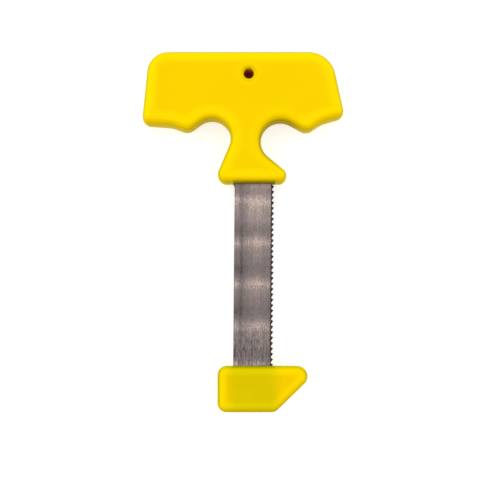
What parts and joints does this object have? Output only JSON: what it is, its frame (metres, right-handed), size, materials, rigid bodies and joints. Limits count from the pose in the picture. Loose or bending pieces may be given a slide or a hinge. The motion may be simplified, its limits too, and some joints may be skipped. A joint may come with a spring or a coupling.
{
  "type": "pull saw",
  "caption": "T-handle pull saw: moulded yellow grip with finger hollows and a lanyard hole, short flat toothed steel blade, blunt moulded foot over the blade's tip",
  "frame": {"origin": "on the surface that the saw lies on, under the middle of its bounding box", "axes": "+Z out of the front face, +Y from the foot to the handle, +X to the toothed side"},
  "size_m": [0.0946, 0.1694, 0.016],
  "materials": {
    "yellow_plastic": "satin moulded plastic, evenly coloured, slightly translucent over the steel",
    "saw_steel": "mill-rolled strip with a fine lengthwise grain, dark tooth edge"
  },
  "bodies": {
    "root": {"handle": "yellow_plastic", "blade": "saw_steel", "foot": "yellow_plastic"}
  },
  "joints": []
}
